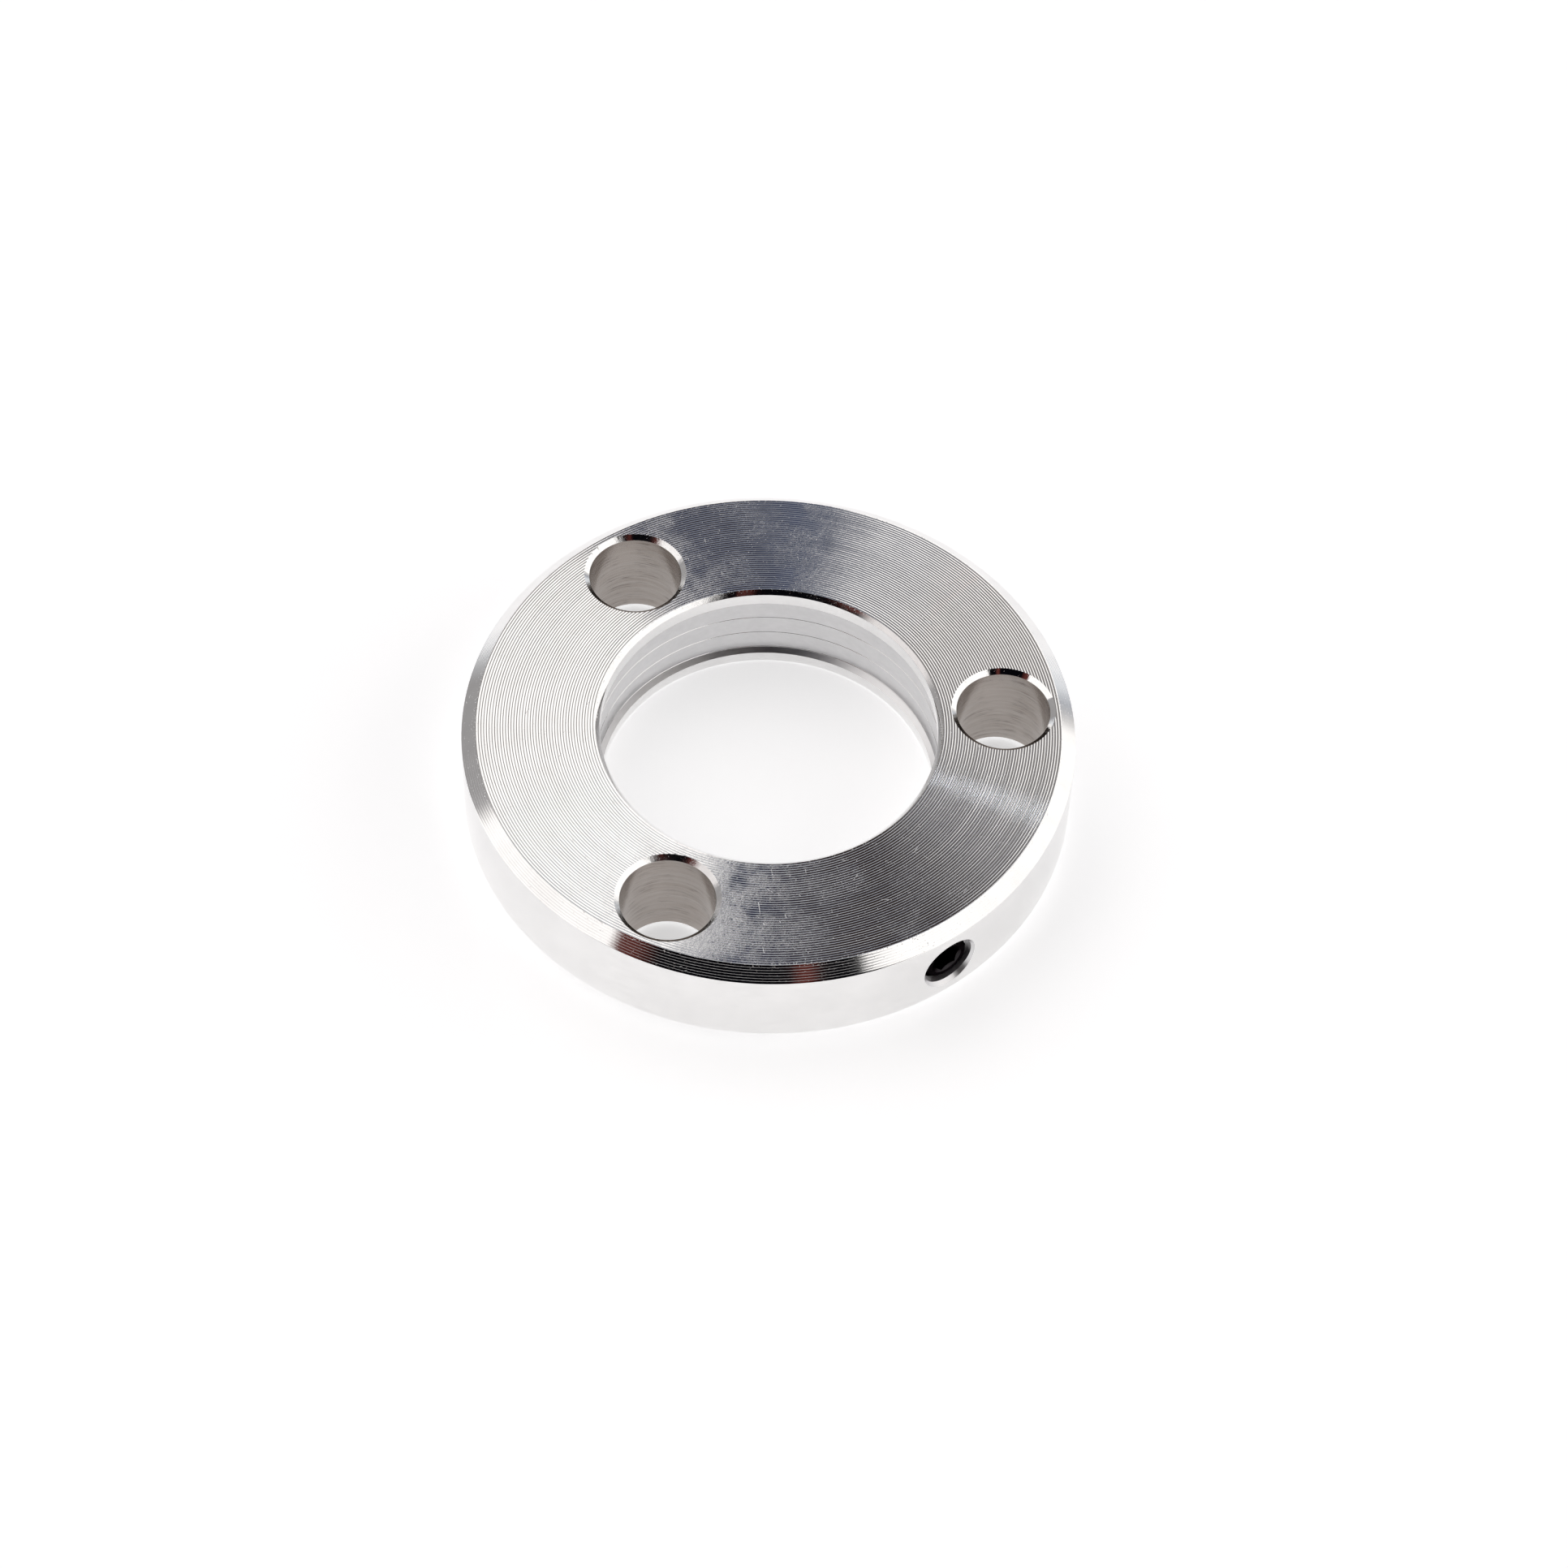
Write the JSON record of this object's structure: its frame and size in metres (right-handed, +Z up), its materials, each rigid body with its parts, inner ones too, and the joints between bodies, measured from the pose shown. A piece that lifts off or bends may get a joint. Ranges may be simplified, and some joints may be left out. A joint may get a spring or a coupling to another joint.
{
  "type": "ring flange",
  "caption": "Flat turned ring flange with a recessed central bore, bolt holes on a circle and a radial set screw that clamps it to a tube or shaft.",
  "frame": {"origin": "centre of the bottom face, on the bore's axis", "axes": "+Z up along the bore's axis to the top face, -Y out through the set screw"},
  "size_m": [0.065, 0.065, 0.0118],
  "materials": {
    "turned_aluminium": "bright turned, with fine facing rings",
    "black_oxide_steel": "black oxide, slightly glossy"
  },
  "bodies": {
    "ring": {"flange_ring": "turned_aluminium"},
    "screw": {"set_screw": "black_oxide_steel"}
  },
  "joints": [
    {"name": "set_screw_travel", "type": "slide", "parent": "ring", "child": "screw", "axis": [0, 1, 0], "range_m": [-0.004, 0.004]}
  ]
}
